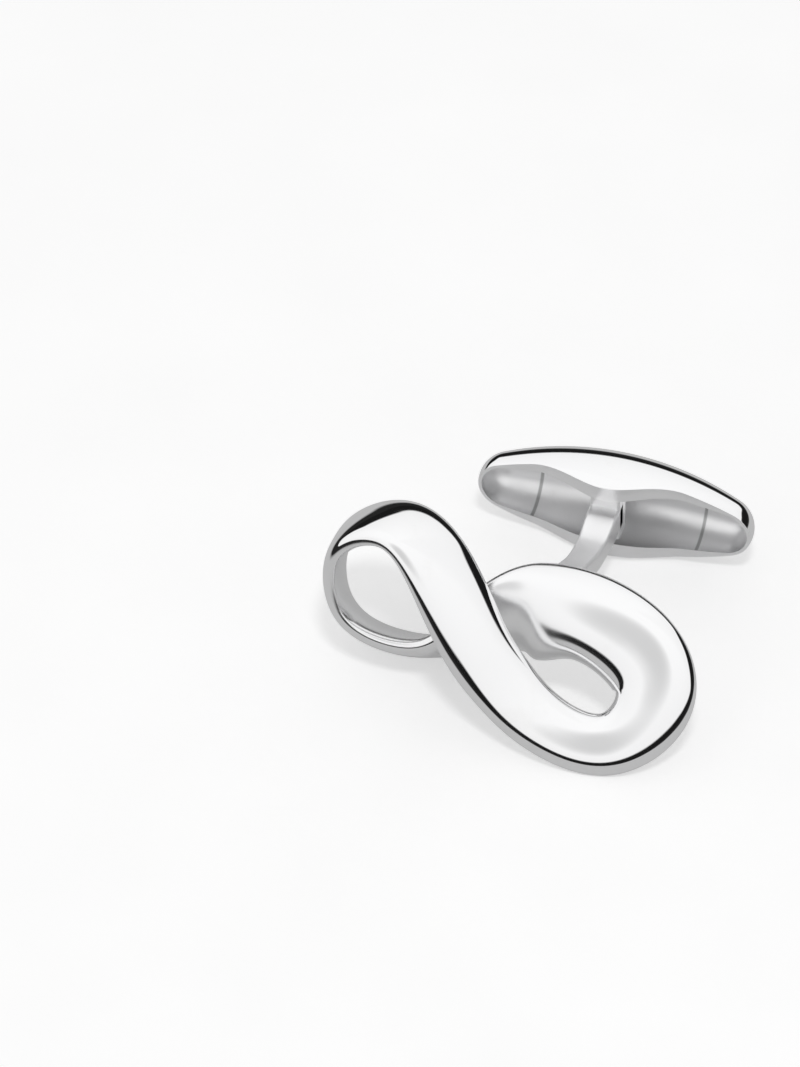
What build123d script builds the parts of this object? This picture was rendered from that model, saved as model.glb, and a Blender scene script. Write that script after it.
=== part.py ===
from build123d import *
import math
import os

# Infinity cufflink, lying on a table as it rests by itself.
# A polished silver band runs round a large and a small loop and crosses over itself.
# A curved post is soldered to the back of the large loop and carries a hollow swivel bar.
# Millimetres. X runs along the bar, Y from the front to the bar, Z up from the table.

# Front: reach of the loops from the crossing, and the lean of the front as it rests
loop_reach = 11.5
loop_rise = 5.0
loop_depth = 2.0
front_tilt = 29.0

# Band of the front
band_width = 5.0
dome_height = 1.6
back_height = 0.5
band_steps = 112
section_steps = 16

# Post
post_width = 1.85
post_thickness = 1.4
post_corner = 0.2
post_bend = 7.5
foot_sunk = 0.1

# Hinge: a squared knuckle on the post, held by a pin across the bar
knuckle_depth = 1.5
knuckle_gap = 0.1
pin_radius = 0.4
pin_skin = 0.25
pin_running_gap = 0.05
pin_seat_gap = 0.02

# Hollow bar
bar_length = 17.0
bar_radius = 3.18
bar_end_radius = 1.9
bar_wall = 0.85
bar_end_wall = 0.2
bar_from_crossing = 14.1
bar_off_post = 0.35
mouth_middle_depth = 1.58
mouth_side_depth = 0.5
mouth_bulge = 9.6
pin_behind_mouth = 1.0

# Sections of the band in the order of travel. Along, up and out are the middle of the
# section from the crossing, as shares of loop_reach, loop_rise and loop_depth. Face is the
# turn of the broad outer face in degrees, from facing forward to facing away from the loop.
# Wide, dome and back are shares of the band's sizes. Edge is 1 for an oval section and
# less for a squarer one.
band_columns = ("name", "along", "up", "out", "face", "wide", "dome", "back", "edge")
band_rows = [
    ("crossing_over", -0.01, 0.02, 0.90, 30, 0.86, 0.74, 1.0, 1.00),
    ("small_enter", -0.25, 0.73, 0.68, 48, 0.92, 0.68, 1.0, 0.95),
    ("small_top", -0.51, 1.03, 0.12, 76, 1.00, 0.66, 1.0, 0.88),
    ("small_left", -0.77, 0.67, -0.50, 84, 1.00, 0.50, 0.8, 0.72),
    ("small_low", -0.80, 0.03, -0.95, 82, 1.00, 0.46, 0.8, 0.76),
    ("small_foot", -0.64, -0.41, -1.20, 80, 1.00, 0.50, 0.8, 0.80),
    ("small_leave", -0.33, -0.47, -1.20, 78, 0.98, 0.54, 1.0, 0.80),
    ("crossing_under", -0.10, -0.22, -1.08, 58, 1.02, 0.60, 1.2, 0.85),
    ("emerge", 0.10, 0.12, -0.95, 24, 1.08, 0.62, 1.2, 0.75),
    ("large_rise", 0.27, 0.28, -0.85, -6, 1.16, 1.02, 1.2, 0.92),
    ("large_top", 0.52, 0.38, -0.55, -16, 1.06, 1.00, 1.0, 0.95),
    ("large_right", 0.83, 0.15, -0.15, -8, 1.06, 0.84, 1.0, 0.90),
    ("large_end", 0.96, -0.38, 0.30, 2, 0.94, 0.70, 1.0, 0.94),
    ("large_low", 0.77, -0.94, 0.65, 18, 0.74, 0.62, 0.9, 0.88),
    ("large_foot", 0.43, -0.84, 0.80, 26, 0.74, 0.60, 0.9, 0.90),
    ("large_leave", 0.19, -0.46, 0.90, 28, 0.80, 0.60, 0.9, 0.90),
]

# The post stands on the back of the large loop, at this share of the round between rows,
# and this share of the band's width above its middle
foot_row = "large_rise"
foot_past_row = 0.44
foot_above_middle = 0.25

# Sections of the post from the knuckle to its foot, as shares of its length and sizes
post_columns = ("reach", "wide", "thick")
post_rows = [
    (0.00, 1.00, 1.40),
    (0.12, 1.00, 1.40),
    (0.34, 0.94, 1.00),
    (0.60, 0.86, 0.94),
    (0.85, 0.94, 1.06),
    (1.00, 1.16, 1.28),
]


def column(name):
    """One column of the band's table."""
    place = band_columns.index(name)
    return [row[place] for row in band_rows]


def curve_controls(values):
    """Controls of the closed cubic spline that passes through the values."""
    controls = list(values)
    for _ in range(30):
        for i in range(len(values)):
            beside = controls[i - 1] + controls[(i + 1) % len(values)]
            controls[i] = (6 * values[i] - beside) / 4
    return controls


controls = {name: curve_controls(column(name)) for name in band_columns[1:]}


def band_value(name, share, size=1.0):
    """A column's smooth value at a share of the whole round, times its size."""
    at = share * len(band_rows)
    start = math.floor(at)
    f = at - start
    near = [controls[name][(start + k) % len(band_rows)] for k in (-1, 0, 1, 2)]
    weights = [(1 - f) ** 3, 3 * f**3 - 6 * f**2 + 4, -3 * f**3 + 3 * f**2 + 3 * f + 1, f**3]
    return size * sum(w * value for w, value in zip(weights, near)) / 6


def band_middle(share):
    """Middle of the band, in the front's own axes: along, up and out."""
    return Vector(
        band_value("along", share, loop_reach),
        band_value("up", share, loop_rise),
        band_value("out", share, loop_depth),
    )


def signed_power(value, power):
    return math.copysign(abs(value) ** power, value)


def band_directions(share):
    """Directions across the band and out of its broad face, in the front's own axes."""
    step = 0.25 / band_steps
    travel = (band_middle(share + step) - band_middle(share - step)).normalized()
    beside = travel.cross(Vector(0, 0, 1)).normalized()
    forward = beside.cross(travel)
    face = math.radians(band_value("face", share))
    outward = forward * math.cos(face) + beside * math.sin(face)
    return travel.cross(outward), outward


def band_ring(share):
    """Points round one section of the band, in the front's own axes."""
    middle = band_middle(share)
    across, outward = band_directions(share)
    wide = band_value("wide", share, band_width)
    dome = band_value("dome", share, dome_height)
    back = band_value("back", share, back_height)
    edge = band_value("edge", share)
    ring = []
    for k in range(section_steps):
        angle = 2 * math.pi * k / section_steps
        height = dome if math.sin(angle) > 0 else back
        sideways = across * (wide / 2 * signed_power(math.cos(angle), edge))
        ring.append(middle + sideways + outward * (height * signed_power(math.sin(angle), edge)))
    return ring


# The front's own axes as it leans at rest
tilt = math.radians(front_tilt)


def leaned(point, roll):
    """Turn a point of the front from its own axes to the table's, rolled to rest level."""
    x = point.X
    y = point.Y * math.sin(tilt) - point.Z * math.cos(tilt)
    z = point.Y * math.cos(tilt) + point.Z * math.sin(tilt)
    return Vector(x * math.cos(roll) + z * math.sin(roll), y, z * math.cos(roll) - x * math.sin(roll))


own_rings = [band_ring(step / band_steps) for step in range(band_steps)]

# The front rolls until the small loop and the large loop both touch the table
front_roll = 0.0
for _ in range(6):
    rings = [[leaned(point, front_roll) for point in ring] for ring in own_rings]
    small_low = min((p for ring in rings for p in ring if p.X < 0), key=lambda p: p.Z)
    large_low = min((p for ring in rings for p in ring if p.X > 0), key=lambda p: p.Z)
    front_roll += math.atan2(large_low.Z - small_low.Z, large_low.X - small_low.X)

# The origin is the middle of the whole part's outline, on the table
low_x = min(p.X for ring in rings for p in ring)
high_x = max(p.X for ring in rings for p in ring)
low_y = min(p.Y for ring in rings for p in ring)
low_z = min(p.Z for ring in rings for p in ring)
high_y = bar_from_crossing + bar_radius
to_row = Vector(-(low_x + high_x) / 2, -(low_y + high_y) / 2, -low_z)
rings = [[point + to_row for point in ring] for ring in rings]

# Bar, hinge and post places
foot_share = (column("name").index(foot_row) + foot_past_row) / len(band_rows)
foot_across, foot_outward = band_directions(foot_share)
foot_off_middle = foot_above_middle * band_value("wide", foot_share, band_width)
own_foot = band_middle(foot_share) - foot_across * foot_off_middle + foot_outward * foot_sunk
foot = leaned(own_foot, front_roll) + to_row
bar_middle = Vector(foot.X + bar_off_post, bar_from_crossing + to_row.Y, bar_radius)
pin_middle = Vector(foot.X, bar_middle.Y - mouth_middle_depth + pin_behind_mouth, bar_radius)
post_run = (foot.Z - pin_middle.Z) / math.tan(tilt)
post_turn = Vector(foot.X, foot.Y + post_run, pin_middle.Z)

# The knuckle fits between the bar's walls at the mouth, and the pin ends under their skin
knuckle_height = 2 * (math.sqrt((bar_radius - bar_wall) ** 2 - mouth_middle_depth**2) - knuckle_gap)
pin_front = mouth_middle_depth - pin_behind_mouth + pin_radius
pin_length = 2 * (math.sqrt(bar_radius**2 - pin_front**2) - pin_skin)


def solid_from_rings(rings):
    """Closed faceted solid through rings of points, the last ring joined to the first."""
    faces = []
    count = len(rings)
    for i, ring in enumerate(rings):
        following = rings[(i + 1) % count]
        for k in range(len(ring)):
            n = (k + 1) % len(ring)
            a, b, c, d = ring[k], ring[n], following[n], following[k]
            faces.append(Face(Wire.make_polygon([a, b, c])))
            faces.append(Face(Wire.make_polygon([a, c, d])))
    return Solid(Shell(faces))


# Front: the band, the post and its knuckle are one piece of silver
post_path = FilletPolyline(pin_middle, post_turn, foot, radius=post_bend)

with BuildPart() as front:
    for reach, wide, thick in post_rows:
        at = Plane(origin=post_path @ reach, x_dir=(1, 0, 0), z_dir=post_path % reach)
        with BuildSketch(at):
            RectangleRounded(post_width * wide, post_thickness * thick, post_corner)
    loft()
    with BuildSketch(Plane.XY.offset(pin_middle.Z - knuckle_height / 2)):
        with Locations((pin_middle.X, pin_middle.Y)):
            RectangleRounded(post_width, knuckle_depth, post_corner)
    extrude(amount=knuckle_height)
    with BuildSketch(Plane.XY.offset(pin_middle.Z - knuckle_height / 2)):
        with Locations((pin_middle.X, pin_middle.Y)):
            Circle(pin_radius + pin_running_gap)
    extrude(amount=knuckle_height, mode=Mode.SUBTRACT)
    add(solid_from_rings(rings))
front.part.label = "infinity_front"


def torpedo_outline(middle_radius, end_radius):
    """Half outline of the bar or of its cavity: one long arc and an arc at each end."""
    reach = bar_length / 2 - bar_end_radius
    drop = middle_radius - end_radius
    long_radius = (reach**2 + drop**2) / (2 * drop) + end_radius
    lean = math.atan2(reach, long_radius - middle_radius)
    turn = Vector(math.sin(lean), math.cos(lean)) * end_radius
    with BuildLine() as outline:
        RadiusArc((-reach - turn.X, turn.Y), (reach + turn.X, turn.Y), long_radius)
        RadiusArc((reach + turn.X, turn.Y), (reach + end_radius, 0), end_radius)
        Line((reach + end_radius, 0), (-reach - end_radius, 0))
        RadiusArc((-reach - end_radius, 0), (-reach - turn.X, turn.Y), end_radius)
    return outline.line


bar_plane = Plane(origin=bar_middle, x_dir=(1, 0, 0), z_dir=(0, 0, 1))

with BuildPart() as bar:
    with BuildSketch(bar_plane):
        add(torpedo_outline(bar_radius, bar_end_radius))
        make_face()
    revolve(axis=Axis(bar_middle, (1, 0, 0)))
    with BuildSketch(bar_plane):
        add(torpedo_outline(bar_radius - bar_wall, bar_end_radius - bar_end_wall))
        make_face()
    revolve(axis=Axis(bar_middle, (1, 0, 0)), mode=Mode.SUBTRACT)
    # Mouth: the front is cut away, less at the middle, where the walls hold the pin
    with BuildSketch(bar_plane.offset(-bar_radius)):
        with BuildLine():
            half = bar_length / 2
            side = mouth_bulge / 2
            pin_x = pin_middle.X - bar_middle.X
            rim = Spline(
                (pin_x - side, -mouth_side_depth),
                (pin_x, -mouth_middle_depth),
                (pin_x + side, -mouth_side_depth),
                tangents=((1, 0), (1, 0)),
            )
            Polyline(
                rim @ 1,
                (half, -mouth_side_depth),
                (half, -bar_radius),
                (-half, -bar_radius),
                (-half, -mouth_side_depth),
                rim @ 0,
            )
        make_face()
    extrude(amount=2 * bar_radius, mode=Mode.SUBTRACT)
    with BuildSketch(Plane.XY.offset(pin_middle.Z - pin_length / 2 - pin_seat_gap)):
        with Locations((pin_middle.X, pin_middle.Y)):
            Circle(pin_radius + pin_seat_gap)
    extrude(amount=pin_length + 2 * pin_seat_gap, mode=Mode.SUBTRACT)
bar.part.label = "back_bar"

with BuildPart() as pin:
    with BuildSketch(Plane.XY.offset(pin_middle.Z - pin_length / 2)):
        with Locations((pin_middle.X, pin_middle.Y)):
            Circle(pin_radius)
    extrude(amount=pin_length)
pin.part.label = "hinge_pin"

os.makedirs("parts", exist_ok=True)
export_step(front.part, "parts/infinity_front.step")
export_step(bar.part, "parts/back_bar.step")
export_step(pin.part, "parts/hinge_pin.step")

for name, point in (("foot", foot), ("bar", bar_middle), ("pin", pin_middle), ("crossing", to_row)):
    print(name, round(point.X, 3), round(point.Y, 3), round(point.Z, 3))
print("roll", round(math.degrees(front_roll), 3), "knuckle height", round(knuckle_height, 3))
print("pin length", round(pin_length, 3), "own foot", own_foot)
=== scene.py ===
import math

import bmesh
import bpy
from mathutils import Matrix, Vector


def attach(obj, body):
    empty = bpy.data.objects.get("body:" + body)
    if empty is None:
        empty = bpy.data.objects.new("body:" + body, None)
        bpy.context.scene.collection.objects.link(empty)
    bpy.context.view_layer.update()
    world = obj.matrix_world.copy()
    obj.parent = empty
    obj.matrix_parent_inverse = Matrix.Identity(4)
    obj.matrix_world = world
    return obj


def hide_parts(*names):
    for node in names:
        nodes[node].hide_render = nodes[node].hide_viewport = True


# Infinity cufflink in polished silver: a band crossing itself in two loops, its curved post
# and a hollow swivel bar. Sizes are in millimetres and become metres where a mesh is made.

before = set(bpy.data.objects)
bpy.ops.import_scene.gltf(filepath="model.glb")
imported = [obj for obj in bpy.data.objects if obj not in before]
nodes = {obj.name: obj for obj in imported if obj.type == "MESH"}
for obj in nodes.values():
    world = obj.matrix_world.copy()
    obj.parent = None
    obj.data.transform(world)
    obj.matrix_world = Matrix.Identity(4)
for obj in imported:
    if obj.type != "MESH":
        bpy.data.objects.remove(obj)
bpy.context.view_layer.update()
mm = 0.001


def addNode(tree, kind, inputs=None, **settings):
    node = tree.nodes.new(kind)
    for key, value in settings.items():
        setattr(node, key, value)
    for key, value in (inputs or {}).items():
        socket = node.inputs[key]
        if isinstance(value, bpy.types.NodeSocket):
            tree.links.new(value, socket)
        else:
            socket.default_value = value
    return node


def meshObject(name, points, faces):
    mesh = bpy.data.meshes.new(name)
    mesh.from_pydata([tuple(p * mm for p in point) for point in points], [], faces)
    mesh.validate()
    mesh.polygons.foreach_set("use_smooth", [True] * len(mesh.polygons))
    piece = bpy.data.objects.new(name, mesh)
    bpy.context.scene.collection.objects.link(piece)
    return piece


def plainMesh(piece):
    # the evaluated shape becomes the object's own mesh, and its modifiers go
    seen = piece.evaluated_get(bpy.context.evaluated_depsgraph_get())
    mesh = bpy.data.meshes.new_from_object(seen)
    piece.modifiers.clear()
    old = piece.data
    piece.data = mesh
    mesh.name = piece.name
    bpy.data.meshes.remove(old)
    return piece


def turnOutward(piece):
    # a closed mesh with a negative volume is inside out
    mesh = piece.data
    mesh.calc_loop_triangles()
    volume = 0.0
    for triangle in mesh.loop_triangles:
        a, b, c = (mesh.vertices[i].co for i in triangle.vertices)
        volume += a.dot(b.cross(c))
    if volume < 0:
        mesh.flip_normals()
    return piece


polishSettings = {
    "colour": (0.93, 0.93, 0.935),
    "tarnish": (0.80, 0.79, 0.77),
    "roughLow": 0.03,
    "roughHigh": 0.08,
    "cloudScale": 260.0,
    "scratchScale": 2600.0,
    "scratchDepth": 0.004,
}
bandPolish = {**polishSettings, "roughBack": 0.18}
postPolish = {
    **polishSettings,
    "colour": (0.96, 0.96, 0.965),
    "roughLow": 0.30,
    "roughHigh": 0.42,
    "scratchDepth": 0.02,
}
# where in the cloudy noise tarnish and roughness begin and are full, and a scratch's height
silverClouds = {
    "tarnishFrom": 0.60,
    "tarnishFull": 0.85,
    "tarnishShare": 0.35,
    "roughFrom": 0.30,
    "roughFull": 0.75,
    "scratchHeight": 0.02,
}


def silverMaterial(name, settings, stretch=(1.0, 1.0, 1.0)):
    material = bpy.data.materials.new(name)
    material.use_nodes = True
    tree = material.node_tree
    tree.nodes.clear()
    place = addNode(tree, "ShaderNodeTexCoord")
    along = addNode(tree, "ShaderNodeMapping", {"Vector": place.outputs["Object"], "Scale": stretch})
    cloud = addNode(tree, "ShaderNodeTexNoise", {
        "Vector": place.outputs["Object"], "Scale": settings["cloudScale"],
        "Detail": 4.0, "Roughness": 0.6})
    scratch = addNode(tree, "ShaderNodeTexNoise", {
        "Vector": along.outputs["Vector"], "Scale": settings["scratchScale"],
        "Detail": 3.0, "Roughness": 0.7})
    colour = addNode(tree, "ShaderNodeMix", data_type="RGBA")
    spread = addNode(tree, "ShaderNodeMapRange", {
        "Value": cloud.outputs["Fac"], "From Min": silverClouds["tarnishFrom"],
        "From Max": silverClouds["tarnishFull"], "To Max": silverClouds["tarnishShare"]})
    tree.links.new(spread.outputs["Result"], colour.inputs["Factor"])
    colour.inputs["A"].default_value = (*settings["colour"], 1.0)
    colour.inputs["B"].default_value = (*settings["tarnish"], 1.0)
    finish = colour.outputs["Result"]
    # the satin gets painted dark reflection lines
    if "reflectionLineFrom" in settings:
        finish = paintedReflectionLines(tree, place.outputs["Object"], finish, settings)
    rough = addNode(tree, "ShaderNodeMapRange", {
        "Value": cloud.outputs["Fac"], "From Min": silverClouds["roughFrom"],
        "From Max": silverClouds["roughFull"], "To Min": settings["roughLow"],
        "To Max": settings["roughHigh"]}).outputs["Result"]
    if "roughBack" in settings:
        # the band is less polished on its back and where it passes under itself
        hidden = addNode(tree, "ShaderNodeAttribute", attribute_name="hidden")
        rough = addNode(tree, "ShaderNodeMath", {
            0: hidden.outputs["Fac"], 1: settings["roughBack"], 2: rough},
            operation="MULTIPLY_ADD").outputs["Value"]
    bump = addNode(tree, "ShaderNodeBump", {
        "Height": scratch.outputs["Fac"], "Strength": settings["scratchDepth"],
        "Distance": silverClouds["scratchHeight"] * mm})
    shader = addNode(tree, "ShaderNodeBsdfPrincipled", {
        "Base Color": finish, "Metallic": 1.0, "Roughness": rough, "Normal": bump.outputs["Normal"]})
    output = addNode(tree, "ShaderNodeOutputMaterial")
    tree.links.new(shader.outputs["BSDF"], output.inputs["Surface"])
    return material


mirrorSilver = silverMaterial("mirrorSilver", polishSettings)
bandFinish = silverMaterial("bandFinish", bandPolish)
postSilver = silverMaterial("postSilver", postPolish, stretch=(1.0, 0.15, 0.6))
print("polished silver ready")


bandSizes = {
    "reach": 11.5,
    "rise": 5.0,
    "depth": 2.0,
    "width": 5.0,
    "dome": 1.6,
    "back": 0.5,
    "lean": 29.0,  # degrees that the front leans back
    "roll": 1.19,  # degrees that it rolls until both loops touch the table
    "crossing": (-1.608, -6.039, 5.002),
    "stations": 640,
    "sectionPoints": 80,
    "edgeCrowding": 0.62,  # how much the section's points gather at its edges and middles
    "hiddenFrom": 6.4,  # rows between which the band is harder to polish
    "hiddenTo": 8.8,
    "hiddenOnset": 0.6,
    "hiddenFade": 2.2,
    "backFrom": -0.05,  # heights in the section, -1 at its back and 1 at its face, where polish begins
    "backTo": 0.35,
}
# the middle's place as shares of reach, rise and depth, the way the face turns in degrees,
# the section's width and heights as shares, and how squared its edges are
bandColumns = ("along", "up", "out", "face", "wide", "dome", "back", "edge")
bandRows = {
    "crossingOver": (-0.01, 0.02, 0.90, 30, 0.86, 0.74, 1.0, 1.00),
    "smallEnter": (-0.25, 0.73, 0.68, 48, 0.92, 0.68, 1.0, 0.95),
    "smallTop": (-0.51, 1.03, 0.12, 76, 1.00, 0.66, 1.0, 0.88),
    "smallLeft": (-0.77, 0.67, -0.50, 84, 1.00, 0.50, 0.8, 0.72),
    "smallLow": (-0.80, 0.03, -0.95, 82, 1.00, 0.46, 0.8, 0.76),
    "smallFoot": (-0.64, -0.41, -1.20, 80, 1.00, 0.50, 0.8, 0.80),
    "smallLeave": (-0.33, -0.47, -1.20, 78, 0.98, 0.54, 1.0, 0.80),
    "crossingUnder": (-0.10, -0.22, -1.08, 58, 1.02, 0.60, 1.2, 0.85),
    "emerge": (0.10, 0.12, -0.95, 24, 1.08, 0.62, 1.2, 0.75),
    "largeRise": (0.27, 0.28, -0.85, -6, 1.16, 1.02, 1.2, 0.92),
    "largeTop": (0.52, 0.38, -0.55, -16, 1.06, 1.00, 1.0, 0.95),
    "largeRight": (0.83, 0.15, -0.15, -8, 1.06, 0.84, 1.0, 0.90),
    "largeEnd": (0.96, -0.38, 0.30, 2, 0.94, 0.70, 1.0, 0.94),
    "largeLow": (0.77, -0.94, 0.65, 18, 0.74, 0.62, 0.9, 0.88),
    "largeFoot": (0.43, -0.84, 0.80, 26, 0.74, 0.60, 0.9, 0.90),
    "largeLeave": (0.19, -0.46, 0.90, 28, 0.80, 0.60, 0.9, 0.90),
}


def curveControls(values, rounds=30):
    # controls of the closed cubic spline that passes through the values, settled in rounds
    controls = list(values)
    for _ in range(rounds):
        for i in range(len(values)):
            beside = controls[i - 1] + controls[(i + 1) % len(values)]
            controls[i] = (6 * values[i] - beside) / 4
    return controls


def bandTable():
    # one point for each row, with the row's other columns as attributes
    columns = {name: curveControls([row[i] for row in bandRows.values()])
               for i, name in enumerate(bandColumns)}
    count = len(bandRows)
    mesh = bpy.data.meshes.new("bandTable")
    mesh.from_pydata(list(zip(columns["along"], columns["up"], columns["out"])),
                     [(i, (i + 1) % count) for i in range(count)], [])
    for name in bandColumns[3:]:
        mesh.attributes.new(name, "FLOAT", "POINT").data.foreach_set("value", columns[name])
    table = bpy.data.objects.new("bandSilver", mesh)
    bpy.context.scene.collection.objects.link(table)
    return table


def bandTree(rowCount):
    tree = bpy.data.node_groups.new("bandShape", "GeometryNodeTree")
    face = tree.interface
    face.new_socket("Table", in_out="INPUT", socket_type="NodeSocketGeometry")
    for name in ("Reach", "Rise", "Depth", "Width", "Dome", "Back", "Lean", "Roll", "Edge crowding",
                 "Hidden from", "Hidden to"):
        face.new_socket(name, in_out="INPUT", socket_type="NodeSocketFloat")
    for name in ("Stations", "Section points"):
        face.new_socket(name, in_out="INPUT", socket_type="NodeSocketInt")
    face.new_socket("Crossing", in_out="INPUT", socket_type="NodeSocketVector")
    face.new_socket("Silver", in_out="INPUT", socket_type="NodeSocketMaterial")
    face.new_socket("Band", in_out="OUTPUT", socket_type="NodeSocketGeometry")
    given = tree.nodes.new("NodeGroupInput").outputs

    def calc(operation, *values):
        inputs = dict(enumerate(values))
        return addNode(tree, "ShaderNodeMath", inputs, operation=operation).outputs[0]

    def calcVector(operation, *vectors):
        inputs = dict(enumerate(vectors))
        return addNode(tree, "ShaderNodeVectorMath", inputs, operation=operation).outputs[0]

    def scaled(vector, factor):
        inputs = {"Vector": vector, "Scale": factor}
        return addNode(tree, "ShaderNodeVectorMath", inputs, operation="SCALE").outputs[0]

    def joined(x, y, z):
        return addNode(tree, "ShaderNodeCombineXYZ", {"X": x, "Y": y, "Z": z}).outputs[0]

    # a closed net of stations round the band and points round each section
    ring = addNode(tree, "GeometryNodeMeshCircle", {"Vertices": given["Stations"], "Radius": 1.0})
    path = addNode(tree, "GeometryNodeMeshToCurve", {"Mesh": ring.outputs["Mesh"]})
    section = addNode(tree, "GeometryNodeCurvePrimitiveCircle", {
        "Resolution": given["Section points"], "Radius": 0.1})
    net = addNode(tree, "GeometryNodeCurveToMesh", {
        "Curve": path.outputs["Curve"], "Profile Curve": section.outputs["Curve"]})
    index = tree.nodes.new("GeometryNodeInputIndex").outputs[0]
    station = calc("FLOOR", calc("DIVIDE", calc("ADD", index, 0.5), given["Section points"]))
    place = calc("SUBTRACT", index, calc("MULTIPLY", station, given["Section points"]))

    # weights of the four rows near a station, for the value and for its slope
    at = calc("MULTIPLY", calc("DIVIDE", station, given["Stations"]), float(rowCount))
    start = calc("FLOOR", at)
    f = calc("SUBTRACT", at, start)
    f2 = calc("MULTIPLY", f, f)
    f3 = calc("MULTIPLY", f2, f)
    g = calc("SUBTRACT", 1.0, f)
    g2 = calc("MULTIPLY", g, g)
    g3 = calc("MULTIPLY", g2, g)
    inner = calc("ADD", calc("MULTIPLY", f3, 0.5), calc("MULTIPLY_ADD", f2, -1.0, 2.0 / 3.0))
    outer = calc("ADD", calc("MULTIPLY", g3, 0.5), calc("MULTIPLY_ADD", g2, -1.0, 2.0 / 3.0))
    weights = [calc("DIVIDE", g3, 6.0), inner, outer, calc("DIVIDE", f3, 6.0)]
    slopes = [
        calc("MULTIPLY", g2, -0.5),
        calc("SUBTRACT", calc("MULTIPLY", f2, 1.5), calc("MULTIPLY", f, 2.0)),
        calc("SUBTRACT", calc("MULTIPLY", g, 2.0), calc("MULTIPLY", g2, 1.5)),
        calc("MULTIPLY", f2, 0.5),
    ]
    rows = [calc("FLOORED_MODULO", calc("ADD", start, float(k)), float(rowCount)) for k in (-1, 0, 1, 2)]

    def sampled(value, kind):
        # the value at each of the four rows
        return [addNode(tree, "GeometryNodeSampleIndex", {
            "Geometry": given["Table"], "Value": value, "Index": row},
            data_type=kind, domain="POINT").outputs[0] for row in rows]

    def column(name):
        named = addNode(tree, "GeometryNodeInputNamedAttribute", {"Name": name}, data_type="FLOAT")
        total = 0.0
        for sample, weight in zip(sampled(named.outputs[0], "FLOAT"), weights):
            total = calc("MULTIPLY_ADD", sample, weight, total)
        return total

    middles = sampled(tree.nodes.new("GeometryNodeInputPosition").outputs[0], "FLOAT_VECTOR")
    sizes = joined(given["Reach"], given["Rise"], given["Depth"])
    middle = (0.0, 0.0, 0.0)
    travel = (0.0, 0.0, 0.0)
    for sample, weight, slope in zip(middles, weights, slopes):
        middle = calcVector("ADD", scaled(sample, weight), middle)
        travel = calcVector("ADD", scaled(sample, slope), travel)
    middle = calcVector("MULTIPLY", middle, sizes)
    travel = calcVector("NORMALIZE", calcVector("MULTIPLY", travel, sizes))
    beside = calcVector("NORMALIZE", calcVector("CROSS_PRODUCT", travel, (0.0, 0.0, 1.0)))
    forward = calcVector("CROSS_PRODUCT", beside, travel)
    turn = calc("RADIANS", column("face"))
    outward = calcVector("ADD", scaled(forward, calc("COSINE", turn)), scaled(beside, calc("SINE", turn)))
    across = calcVector("CROSS_PRODUCT", travel, outward)

    # the section: a domed face, a low back and edges that go from oval to squarer
    even = calc("DIVIDE", calc("MULTIPLY", place, 2 * math.pi), given["Section points"])
    crowding = calc("DIVIDE", given["Edge crowding"], 4.0)
    crowd = calc("MULTIPLY", calc("SINE", calc("MULTIPLY", even, 4.0)), crowding)
    angle = calc("SUBTRACT", even, crowd)
    edge = column("edge")

    def softPower(value):
        size = calc("POWER", calc("ABSOLUTE", value), edge)
        return calc("MULTIPLY", calc("SIGN", value), size)

    width = calc("MULTIPLY", column("wide"), given["Width"])
    side = calc("MULTIPLY", softPower(calc("COSINE", angle)), width)
    lift = softPower(calc("SINE", angle))
    isFace = calc("GREATER_THAN", lift, 0.0)
    faceHeight = calc("MULTIPLY", column("dome"), given["Dome"])
    backHeight = calc("MULTIPLY", column("back"), given["Back"])
    height = calc("ADD", calc("MULTIPLY", isFace, faceHeight),
                  calc("MULTIPLY", calc("SUBTRACT", 1.0, isFace), backHeight))
    sideways = scaled(across, calc("MULTIPLY", side, 0.5))
    own = calcVector("ADD", middle, calcVector(
        "ADD", sideways, scaled(outward, calc("MULTIPLY", lift, height))))

    # from the front's own axes to where it lies
    upright = calc("SUBTRACT", math.pi / 2, calc("RADIANS", given["Lean"]))
    stood = addNode(tree, "ShaderNodeVectorRotate", {
        "Vector": own, "Axis": (1.0, 0.0, 0.0), "Angle": upright},
        rotation_type="AXIS_ANGLE").outputs[0]
    rolled = addNode(tree, "ShaderNodeVectorRotate", {
        "Vector": stood, "Axis": (0.0, 1.0, 0.0), "Angle": calc("RADIANS", given["Roll"])},
        rotation_type="AXIS_ANGLE").outputs[0]
    where = scaled(calcVector("ADD", rolled, given["Crossing"]), mm)
    shaped = addNode(tree, "GeometryNodeSetPosition", {"Geometry": net.outputs["Mesh"], "Position": where})
    smooth = addNode(tree, "GeometryNodeSetShadeSmooth", {"Geometry": shaped.outputs["Geometry"]})
    real = addNode(tree, "GeometryNodeRealizeInstances", {"Geometry": smooth.outputs["Geometry"]})
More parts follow.
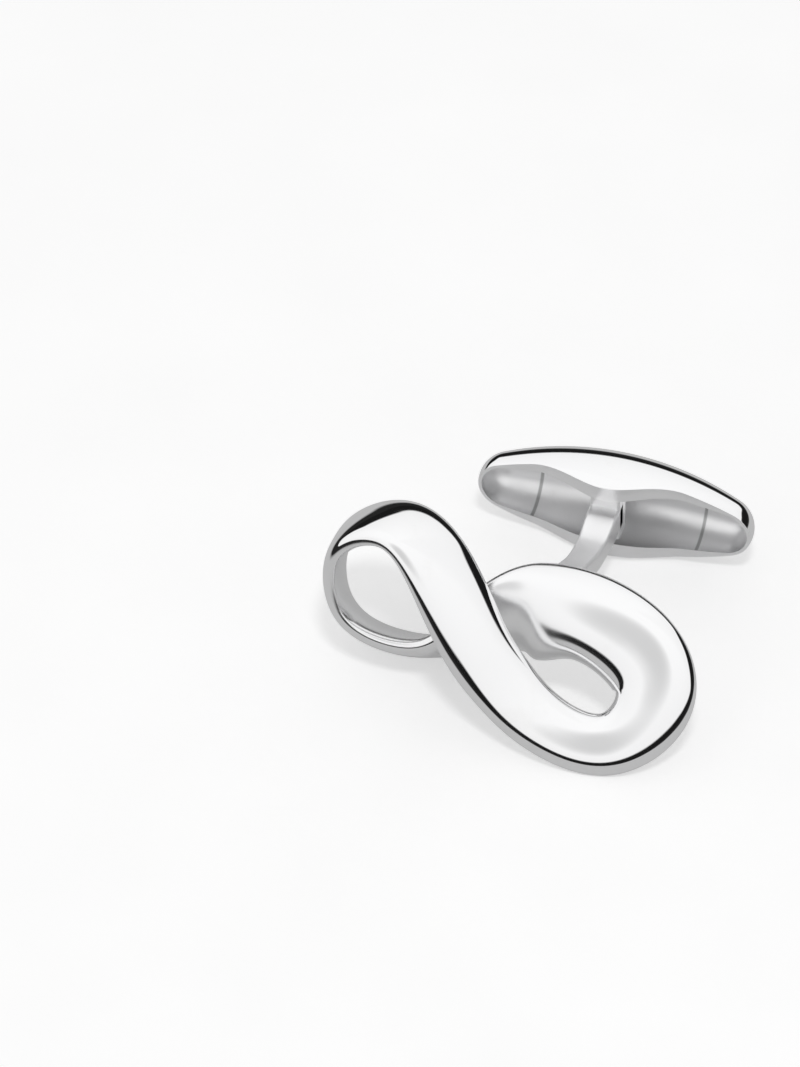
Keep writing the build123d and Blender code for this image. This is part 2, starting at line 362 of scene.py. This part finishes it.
    # how far a place is out of the polisher's reach: the back, and the rows under the crossing
    back = addNode(tree, "ShaderNodeMapRange", {
        "Value": lift, "From Min": bandSizes["backFrom"], "From Max": bandSizes["backTo"],
        "To Min": 1.0, "To Max": 0.0}).outputs[0]
    onsetEnd = calc("ADD", given["Hidden from"], bandSizes["hiddenOnset"])
    fromRow = addNode(tree, "ShaderNodeMapRange", {
        "Value": at, "From Min": given["Hidden from"], "From Max": onsetEnd},
        interpolation_type="SMOOTHSTEP").outputs[0]
    fadeEnd = calc("ADD", given["Hidden to"], bandSizes["hiddenFade"])
    toRow = addNode(tree, "ShaderNodeMapRange", {
        "Value": at, "From Min": given["Hidden to"], "From Max": fadeEnd,
        "To Min": 1.0, "To Max": 0.0}, interpolation_type="SMOOTHSTEP").outputs[0]
    hidden = calc("MAXIMUM", back, calc("MULTIPLY", fromRow, toRow))
    marked = addNode(tree, "GeometryNodeStoreNamedAttribute", {
        "Geometry": real.outputs["Geometry"], "Name": "hidden", "Value": hidden},
        data_type="FLOAT", domain="POINT")
    clad = addNode(tree, "GeometryNodeSetMaterial", {
        "Geometry": marked.outputs["Geometry"], "Material": given["Silver"]})
    tree.links.new(clad.outputs["Geometry"], tree.nodes.new("NodeGroupOutput").inputs["Band"])
    return tree


def makeBand():
    band = bandTable()
    tree = bandTree(len(bandRows))
    shape = band.modifiers.new("bandShape", "NODES")
    shape.node_group = tree
    chosen = {
        "Reach": bandSizes["reach"], "Rise": bandSizes["rise"], "Depth": bandSizes["depth"],
        "Width": bandSizes["width"], "Dome": bandSizes["dome"], "Back": bandSizes["back"],
        "Lean": bandSizes["lean"], "Roll": bandSizes["roll"], "Crossing": bandSizes["crossing"],
        "Edge crowding": bandSizes["edgeCrowding"], "Hidden from": bandSizes["hiddenFrom"],
        "Hidden to": bandSizes["hiddenTo"], "Stations": bandSizes["stations"],
        "Section points": bandSizes["sectionPoints"], "Silver": bandFinish,
    }
    for item in tree.interface.items_tree:
        if item.item_type == "SOCKET" and item.in_out == "INPUT" and item.name in chosen:
            shape[item.identifier] = chosen[item.name]
    return turnOutward(plainMesh(band))


band = makeBand()
print("band:", len(band.data.polygons), "faces", [round(v * 1000, 2) for v in band.dimensions])


postSizes = {
    "pin": (2.366, 7.481, 3.18),
    "foot": (2.366, -3.056, 6.775),
    "bendRadius": 7.5,
    "width": 1.85,
    "thickness": 1.4,
    "corner": 0.2,
    "knuckleDepth": 1.5,
    "knuckleHeight": 3.225,
    "knuckleBevel": 0.12,
    "bevelSteps": 4,
    "stations": 72,
}
# reach along the post, then width and thickness as shares
postRows = [
    (0.00, 1.00, 1.40),
    (0.12, 1.00, 1.40),
    (0.34, 0.94, 1.00),
    (0.60, 0.86, 0.94),
    (0.85, 0.94, 1.06),
    (1.00, 1.16, 1.28),
]


def roundedBox(width, height, corner, steps=6):
    # points round a rectangle with rounded corners, and three more along each side
    signs = ((1, 1), (-1, 1), (-1, -1), (1, -1))

    def onCorner(k, degrees):
        angle = math.radians(degrees)
        return (signs[k][0] * (width / 2 - corner) + corner * math.cos(angle),
                signs[k][1] * (height / 2 - corner) + corner * math.sin(angle))

    points = []
    for k in range(4):
        points += [onCorner(k, 90 * k + 90 * step / steps) for step in range(steps + 1)]
        a = points[-1]
        b = onCorner((k + 1) % 4, 90 * k + 90)
        for share in (0.25, 0.5, 0.75):
            points.append((a[0] + (b[0] - a[0]) * share, a[1] + (b[1] - a[1]) * share))
    return points


def tubeFaces(rings, count):
    # quads between rings of points, and one flat face on each end
    faces = []
    for i in range(rings - 1):
        for k in range(count):
            n = (k + 1) % count
            faces.append((i * count + k, i * count + n, (i + 1) * count + n, (i + 1) * count + k))
    faces.append(tuple(range(count)))
    last = rings * count - 1
    faces.append(tuple(range(last, last - count, -1)))
    return faces


def rowValue(rows, at, place):
    # smooth value between the rows of a short table
    for low, high in zip(rows, rows[1:]):
        if at <= high[0] or high is rows[-1]:
            share = (at - low[0]) / (high[0] - low[0])
            share = share * share * (3 - 2 * share)
            return low[place] + (high[place] - low[place]) * share


def postPath():
    # straight out of the bar, round the bend and straight up to the front
    pin = Vector(postSizes["pin"])
    foot = Vector(postSizes["foot"])
    lean = math.radians(bandSizes["lean"])
    corner = Vector((pin.x, foot.y + (foot.z - pin.z) / math.tan(lean), pin.z))
    cut = postSizes["bendRadius"] * math.tan(lean / 2)
    up = (foot - corner).normalized()
    bendStart = corner + Vector((0, cut, 0))
    middle = bendStart + Vector((0, 0, postSizes["bendRadius"]))
    lengths = (pin.y - bendStart.y, postSizes["bendRadius"] * lean, (foot - corner).length - cut)
    total = sum(lengths)
    path = []
    for k in range(postSizes["stations"] + 1):
        share = k / postSizes["stations"]
        s = share * total
        if s < lengths[0]:
            path.append((share, pin - Vector((0, s, 0)), 0.0))
        elif s < lengths[0] + lengths[1]:
            angle = (s - lengths[0]) / postSizes["bendRadius"]
            out = Vector((0, -math.sin(angle), -math.cos(angle))) * postSizes["bendRadius"]
            path.append((share, middle + out, angle))
        else:
            path.append((share, corner + up * (cut + s - lengths[0] - lengths[1]), lean))
    return path


def makePost():
    points = []
    path = postPath()
    for share, centre, angle in path:
        wide = postSizes["width"] * rowValue(postRows, share, 1)
        thick = postSizes["thickness"] * rowValue(postRows, share, 2)
        upward = Vector((0, math.sin(angle), math.cos(angle)))
        for x, z in roundedBox(wide, thick, postSizes["corner"]):
            points.append(centre + Vector((x, 0, 0)) + upward * z)
    post = meshObject("postSilver", points, tubeFaces(len(path), len(points) // len(path)))
    post.data.materials.append(postSilver)
    return turnOutward(post)


def makeKnuckle():
    s = postSizes
    pin = Vector(s["pin"])
    half = s["knuckleHeight"] / 2
    outline = roundedBox(s["width"], s["knuckleDepth"], s["corner"])
    levels = []
    for step in range(s["bevelSteps"] + 1):
        angle = math.radians(90 * step / s["bevelSteps"])
        inset = s["knuckleBevel"] * (1 - math.cos(angle))
        levels.append((-half + s["knuckleBevel"] * (1 - math.sin(angle)), inset))
    levels.sort()
    levels += [(-z, inset) for z, inset in reversed(levels)]
    points = []
    for z, inset in levels:
        sx = (s["width"] - 2 * inset) / s["width"]
        sy = (s["knuckleDepth"] - 2 * inset) / s["knuckleDepth"]
        points += [pin + Vector((x * sx, y * sy, z)) for x, y in outline]
    knuckle = meshObject("knuckleSilver", points, tubeFaces(len(levels), len(outline)))
    knuckle.data.materials.append(postSilver)
    return turnOutward(knuckle)


post = makePost()
knuckle = makeKnuckle()
for piece in (post, knuckle):
    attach(piece, "front")
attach(band, "front")
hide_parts("infinity_front")
print("post and knuckle:", len(post.data.polygons) + len(knuckle.data.polygons), "faces")


barSizes = {
    "middle": (2.716, 8.061, 3.18),
    "length": 17.0,
    "radius": 3.18,
    "endRadius": 1.9,
    "wall": 0.85,
    "endWall": 0.2,
    "mouthMiddle": 1.58,
    "mouthSides": 0.5,
    "mouthBulge": 9.6,  # length over which the mouth stands further forward
    "mouthOff": -0.35,
    "rimSteps": 150,
    "roundSteps": 60,
    "tipSteps": 10,
    "rimBevel": 0.07,
    "bevelSegments": 3,
    "bevelAngle": 40.0,
    "mergeWithin": 0.002,
    "dropUnder": 0.001,
}
satinSettings = {
    "colour": (0.97, 0.97, 0.975),
    "tarnish": (0.86, 0.85, 0.83),
    "roughLow": 0.28,
    "roughHigh": 0.40,
    "cloudScale": 420.0,
    "scratchScale": 5200.0,
    "scratchDepth": 0.03,
    "reflectionLineFrom": 5.1,  # each painted reflection line's distance from the bar's middle
    "reflectionLineWidth": 0.13,
    "reflectionLineTone": 0.5,
    "reflectionLineEnd": 0.05,  # how far behind the rim the painted reflection lines end
}


def paintedReflectionLines(tree, place, colour, settings):
    # painted reflection: dark fine lines on both sides of the bar's middle, standing in for dark reflection
    # lines in the cavity
    split = addNode(tree, "ShaderNodeSeparateXYZ", {"Vector": place})
    off = addNode(tree, "ShaderNodeMath", {
        0: split.outputs["X"], 1: barSizes["middle"][0] * mm}, operation="SUBTRACT")
    side = addNode(tree, "ShaderNodeMath", {0: off.outputs["Value"]}, operation="ABSOLUTE")
    gap = addNode(tree, "ShaderNodeMath", {
        0: side.outputs["Value"], 1: settings["reflectionLineFrom"] * mm}, operation="SUBTRACT")
    near = addNode(tree, "ShaderNodeMath", {0: gap.outputs["Value"]}, operation="ABSOLUTE")
    line = addNode(tree, "ShaderNodeMapRange", {
        "Value": near.outputs["Value"], "From Min": settings["reflectionLineWidth"] * mm / 2,
        "From Max": settings["reflectionLineWidth"] * mm, "To Min": settings["reflectionLineTone"], "To Max": 1.0})
    front = barSizes["middle"][1] - barSizes["mouthSides"] + settings["reflectionLineEnd"]
    onRim = addNode(tree, "ShaderNodeMath", {
        0: split.outputs["Y"], 1: front * mm}, operation="LESS_THAN")
    shade = addNode(tree, "ShaderNodeMath", {
        0: line.outputs["Result"], 1: onRim.outputs["Value"]}, operation="MAXIMUM")
    return addNode(tree, "ShaderNodeVectorMath", {
        0: colour, "Scale": shade.outputs["Value"]}, operation="SCALE").outputs["Vector"]


satinSilver = silverMaterial("satinSilver", satinSettings, stretch=(0.12, 1.0, 1.0))
print("satin silver ready")


def barRadii(isInside):
    # radius at the middle and at the ends, outside or in the cavity
    s = barSizes
    if isInside:
        return s["radius"] - s["wall"], s["endRadius"] - s["endWall"]
    return s["radius"], s["endRadius"]


def barRadius(x, isInside):
    # the outline is one long arc with an arc at each end
    middle, end = barRadii(isInside)
    reach = barSizes["length"] / 2 - barSizes["endRadius"]
    drop = middle - end
    longRadius = (reach ** 2 + drop ** 2) / (2 * drop) + end
    lean = math.atan2(reach, longRadius - middle)
    if abs(x) <= reach + math.sin(lean) * end:
        return math.sqrt(longRadius ** 2 - x * x) - (longRadius - middle)
    return math.sqrt(max(0.0, end ** 2 - (abs(x) - reach) ** 2))


def mouthCut(x):
    # how far in front of the bar's axis the mouth's rim stands
    s = barSizes
    share = min(1.0, abs(x - s["mouthOff"]) / (s["mouthBulge"] / 2))
    drop = share * share * (3 - 2 * share)
    return -s["mouthMiddle"] + (s["mouthMiddle"] - s["mouthSides"]) * drop


def makeBar():
    s = barSizes
    reach = s["length"] / 2 - s["endRadius"]
    middle = Vector(s["middle"])
    points, faces, inside = [], [], []

    def add(x, y, z):
        points.append(middle + Vector((x, y, z)))
        return len(points) - 1

    def sheet(isInside):
        end = barRadii(isInside)[1]
        rimEnd = reach + math.sqrt(end ** 2 - s["mouthSides"] ** 2)
        tip = reach + end
        rows = []
        for k in range(-s["rimSteps"], s["rimSteps"] + 1):
            x = rimEnd * math.sin(math.pi / 2 * k / s["rimSteps"])
            radius = barRadius(x, isInside)
            limit = math.acos(max(-1.0, mouthCut(x) / radius))
            rows.append([add(x, radius * math.cos(limit * c / s["roundSteps"]),
                             radius * math.sin(limit * c / s["roundSteps"]))
                         for c in range(-s["roundSteps"], s["roundSteps"] + 1)])
        grids = [rows]
        for side in (-1, 1):
            cap = [rows[0] if side < 0 else rows[-1]]
            for k in range(1, s["tipSteps"]):
                x = rimEnd + (tip - rimEnd) * math.sin(math.pi / 2 * k / s["tipSteps"])
                radius = barRadius(x, isInside)
                cap.append([add(side * x, radius * math.cos(math.pi * c / s["roundSteps"]),
                                radius * math.sin(math.pi * c / s["roundSteps"]))
                            for c in range(-s["roundSteps"], s["roundSteps"] + 1)])
            pole = add(side * tip, 0, 0)
            grids.append(cap)
            for a, b in zip(cap[-1], cap[-1][1:]):
                faces.append((a, b, pole) if (side > 0) != isInside else (b, a, pole))
                inside.append(isInside)
        for g, grid in enumerate(grids):
            for low, high in zip(grid, grid[1:]):
                for k in range(len(low) - 1):
                    quad = (low[k], high[k], high[k + 1], low[k + 1])
                    flip = isInside != (g == 1)
                    faces.append(quad[::-1] if flip else quad)
                    inside.append(isInside)
        return rows

    outer = sheet(False)
    inner = sheet(True)
    # the flat rim between the two sheets, above and below the mouth
    for k in range(len(outer) - 1):
        faces.append((outer[k][-1], outer[k + 1][-1], inner[k + 1][-1], inner[k][-1]))
        faces.append((outer[k + 1][0], outer[k][0], inner[k][0], inner[k + 1][0]))
        inside += [True, True]
    bar = meshObject("barSilver", points, faces)
    mesh = bar.data
    mesh.materials.append(mirrorSilver)
    mesh.materials.append(satinSilver)
    for polygon, isIn in zip(mesh.polygons, inside):
        polygon.material_index = 1 if isIn else 0
    work = bmesh.new()
    work.from_mesh(mesh)
    bmesh.ops.remove_doubles(work, verts=work.verts, dist=s["mergeWithin"] * mm)
    bmesh.ops.dissolve_degenerate(work, edges=work.edges, dist=s["dropUnder"] * mm)
    bmesh.ops.recalc_face_normals(work, faces=work.faces)
    work.to_mesh(mesh)
    work.free()
    rim = bar.modifiers.new("rimBevel", "BEVEL")
    rim.width = s["rimBevel"] * mm
    rim.segments = s["bevelSegments"]
    rim.limit_method = "ANGLE"
    rim.angle_limit = math.radians(s["bevelAngle"])
    return turnOutward(plainMesh(bar))


bar = makeBar()
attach(bar, "toggle")
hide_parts("back_bar")
for slot in nodes["hinge_pin"].material_slots:
    slot.material = postSilver
print("bar:", len(bar.data.polygons), "faces")


tableSettings = {
    "half": 600.0,
    "grainScale": 90.0,
    "toneLow": 0.86,
    "toneHigh": 0.90,
    # tones of the painted shade that the silver mirrors from the table, near and far
    "mirroredNear": 0.53,
    "mirroredFar": 0.02,
    "reflectionDarkFrom": 36.0,
    "reflectionDarkTo": 50.0,
    "roughness": 0.7,
    "lightThrough": 0.45,
}


def makeTable():
    s = tableSettings
    half = s["half"]
    corners = [(-half, -half, 0), (half, -half, 0), (half, half, 0), (-half, half, 0)]
    table = meshObject("tableTop", corners, [(0, 1, 2, 3)])
    material = bpy.data.materials.new("paleTable")
    material.use_nodes = True
    tree = material.node_tree
    place = addNode(tree, "ShaderNodeTexCoord")
    grain = addNode(tree, "ShaderNodeTexNoise", {
        "Vector": place.outputs["Object"], "Scale": s["grainScale"], "Detail": 5.0})
    tone = addNode(tree, "ShaderNodeMapRange", {
        "Value": grain.outputs["Fac"], "To Min": s["toneLow"], "To Max": s["toneHigh"]})
    reach = addNode(tree, "ShaderNodeVectorMath", {"Vector": place.outputs["Object"]}, operation="LENGTH")
    # painted shade seen only in reflections: the silver mirrors the table darker than the camera sees it,
    # and nearly black further out from the middle
    beyond = addNode(tree, "ShaderNodeMapRange", {
        "Value": reach.outputs["Value"], "From Min": s["reflectionDarkFrom"] * mm, "From Max": s["reflectionDarkTo"] * mm,
        "To Min": s["mirroredNear"], "To Max": s["mirroredFar"]})
    mirrored = addNode(tree, "ShaderNodeMix", {"A": 1.0}, data_type="FLOAT")
    tree.links.new(addNode(tree, "ShaderNodeLightPath").outputs["Is Glossy Ray"], mirrored.inputs["Factor"])
    tree.links.new(beyond.outputs["Result"], mirrored.inputs["B"])
    shade = addNode(tree, "ShaderNodeMath", {
        0: tone.outputs["Result"], 1: mirrored.outputs["Result"]}, operation="MULTIPLY").outputs["Value"]
    colour = addNode(tree, "ShaderNodeCombineColor", {"Red": shade, "Green": shade, "Blue": shade})
    shader = tree.nodes["Principled BSDF"]
    tree.links.new(colour.outputs["Color"], shader.inputs["Base Color"])
    shader.inputs["Roughness"].default_value = s["roughness"]
    shader.inputs["Specular IOR Level"].default_value = 0.0
    # some light comes up through the table, which keeps the shadows pale
    tree.links.new(colour.outputs["Color"], shader.inputs["Emission Color"])
    shader.inputs["Emission Strength"].default_value = s["lightThrough"]
    table.data.materials.append(material)


lightSettings = {
    "domeStrength": 1.04,
    "fillStrength": 0.46,
    "cameraTone": 0.86,
    "tentLow": 0.9,
    "tentHigh": 1.0,
    "gapTone": 0.01,
    "gapLow": -0.2,  # heights are those of the direction from the object, -1 to 1
    "gapHigh": 0.18,
    "gapFade": 0.05,
    "gapRaised": ((118.0, 0.22), (228.0, 0.05), (265.0, -0.28), (320.0, -0.09)),
    "gapReach": 38.0,
    "greyAzimuth": 350.0,
    "greyElevation": 50.0,
    "greyWidth": 24.0,
    "greyTone": 0.68,
    "keyPower": 0.98,
    "keyAzimuth": 22.0,
    "keyElevation": 66.0,
    "keyDistance": 700.0,
    "keySize": 110.0,
}


def towards(azimuth, elevation):
    # direction from the object: azimuth 0 is the front, and it grows to the right
    a, e = math.radians(azimuth), math.radians(elevation)
    return Vector((math.sin(a) * math.cos(e), -math.cos(a) * math.cos(e), math.sin(e)))


def makeWorld():
    # a pale light tent with a dark gap where it meets the table, which outlines the silver
    s = lightSettings
    world = bpy.data.worlds.new("lightTent")
    bpy.context.scene.world = world
    world.use_nodes = True
    tree = world.node_tree
    tree.nodes.clear()
    place = addNode(tree, "ShaderNodeTexCoord")
    split = addNode(tree, "ShaderNodeSeparateXYZ", {"Vector": place.outputs["Generated"]})
    # the gap is higher on the right and mostly lower on the left, which sets the dark lines' breadth
    level = addNode(tree, "ShaderNodeVectorMath", {
        0: place.outputs["Generated"], 1: (1.0, 1.0, 0.0)}, operation="MULTIPLY")
    heading = addNode(tree, "ShaderNodeVectorMath", {0: level.outputs["Vector"]}, operation="NORMALIZE")
    height = split.outputs["Z"]
    for azimuth, raised in s["gapRaised"]:
        facing = addNode(tree, "ShaderNodeVectorMath", {
            0: heading.outputs["Vector"], 1: towards(azimuth, 0.0)}, operation="DOT_PRODUCT")
        more = addNode(tree, "ShaderNodeMapRange", {
            "Value": facing.outputs["Value"], "From Min": math.cos(math.radians(s["gapReach"])),
            "From Max": 1.0, "To Max": raised}, interpolation_type="SMOOTHSTEP")
        height = addNode(tree, "ShaderNodeMath", {
            0: height, 1: more.outputs["Result"]}, operation="SUBTRACT").outputs["Value"]
    share = addNode(tree, "ShaderNodeMapRange", {
        "Value": height, "From Min": s["gapLow"], "From Max": 1.0})
    ramp = addNode(tree, "ShaderNodeValToRGB", {"Fac": share.outputs["Result"]})
    stops = ramp.color_ramp
    spots = [
        (s["gapLow"], s["gapTone"]),
        (s["gapHigh"], s["gapTone"]),
        (s["gapHigh"] + s["gapFade"], s["tentLow"]),
        (1.0, s["tentHigh"]),
    ]
    while len(stops.elements) < len(spots):
        stops.elements.new(0.5)
    for element, (high, bright) in zip(stops.elements, spots):
        element.position = (high - s["gapLow"]) / (1.0 - s["gapLow"])
        element.color = (bright, bright, bright, 1.0)
    # a soft grey patch of the tent in front, which shades the large loop's inner slope
    aside = addNode(tree, "ShaderNodeVectorMath", {
        0: place.outputs["Generated"], 1: towards(s["greyAzimuth"], s["greyElevation"])},
        operation="DOT_PRODUCT")
    grey = addNode(tree, "ShaderNodeMapRange", {
        "Value": aside.outputs["Value"], "From Min": math.cos(math.radians(s["greyWidth"])),
        "From Max": 1.0, "To Min": 1.0, "To Max": s["greyTone"]}, interpolation_type="SMOOTHSTEP")
    dimmed = addNode(tree, "ShaderNodeVectorMath", {
        0: ramp.outputs["Color"], "Scale": grey.outputs["Result"]}, operation="SCALE")
    seen = addNode(tree, "ShaderNodeLightPath")
    pick = addNode(tree, "ShaderNodeMix", data_type="RGBA")
    tree.links.new(seen.outputs["Is Camera Ray"], pick.inputs["Factor"])
    tree.links.new(dimmed.outputs["Vector"], pick.inputs["A"])
    pick.inputs["B"].default_value = (s["cameraTone"], s["cameraTone"], s["cameraTone"], 1.0)
    strength = addNode(tree, "ShaderNodeMapRange", {
        "Value": seen.outputs["Is Diffuse Ray"], "To Min": s["domeStrength"], "To Max": s["fillStrength"]})
    glow = addNode(tree, "ShaderNodeBackground", {
        "Color": pick.outputs["Result"], "Strength": strength.outputs["Result"]})
    output = addNode(tree, "ShaderNodeOutputWorld")
    tree.links.new(glow.outputs["Background"], output.inputs["Surface"])


def makeKeyLight():
    s = lightSettings
    light = bpy.data.lights.new("keyLight", "AREA")
    light.shape = "DISK"
    light.size = s["keySize"] * mm
    light.energy = s["keyPower"]
    key = bpy.data.objects.new("keyLight", light)
    key.location = towards(s["keyAzimuth"], s["keyElevation"]) * s["keyDistance"] * mm
    key.rotation_euler = key.location.to_track_quat("Z", "Y").to_euler()
    key.visible_glossy = False
    bpy.context.scene.collection.objects.link(key)


cameraSettings = {
    "azimuth": 16.7,
    "elevation": 45.0,
    "pixelsPerMm": 17.0,
    "focal": 400.0,
    "sensor": 36.0,
    "picture": (800.0, 1067.0),
    "crossingPixel": (480.0, 630.0),
    "clip": (0.01, 20.0),
}


def makeCamera():
    s = cameraSettings
    back = towards(s["azimuth"], s["elevation"])
    right = Vector((math.cos(math.radians(s["azimuth"])), math.sin(math.radians(s["azimuth"])), 0))
    up = back.cross(right)
    crossing = Vector(bandSizes["crossing"]) * mm
    offX = (s["crossingPixel"][0] - s["picture"][0] / 2) / s["pixelsPerMm"] * mm
    offY = (s["picture"][1] / 2 - s["crossingPixel"][1]) / s["pixelsPerMm"] * mm
    aim = crossing - right * offX - up * offY
    data = bpy.data.cameras.new("camera")
    data.lens = s["focal"]
    data.sensor_width = s["sensor"]
    data.sensor_fit = "VERTICAL"
    data.sensor_height = s["sensor"]
    distance = s["picture"][1] / s["pixelsPerMm"] / s["sensor"] * s["focal"] * mm
    data.clip_start, data.clip_end = s["clip"]
    camera = bpy.data.objects.new("camera", data)
    camera.location = aim + back * distance
    camera.rotation_euler = back.to_track_quat("Z", "Y").to_euler()
    bpy.context.scene.collection.objects.link(camera)
    bpy.context.scene.camera = camera


makeTable()
makeWorld()
makeKeyLight()
makeCamera()
bpy.context.scene.view_settings.view_transform = "Standard"
print("table, light and camera ready")
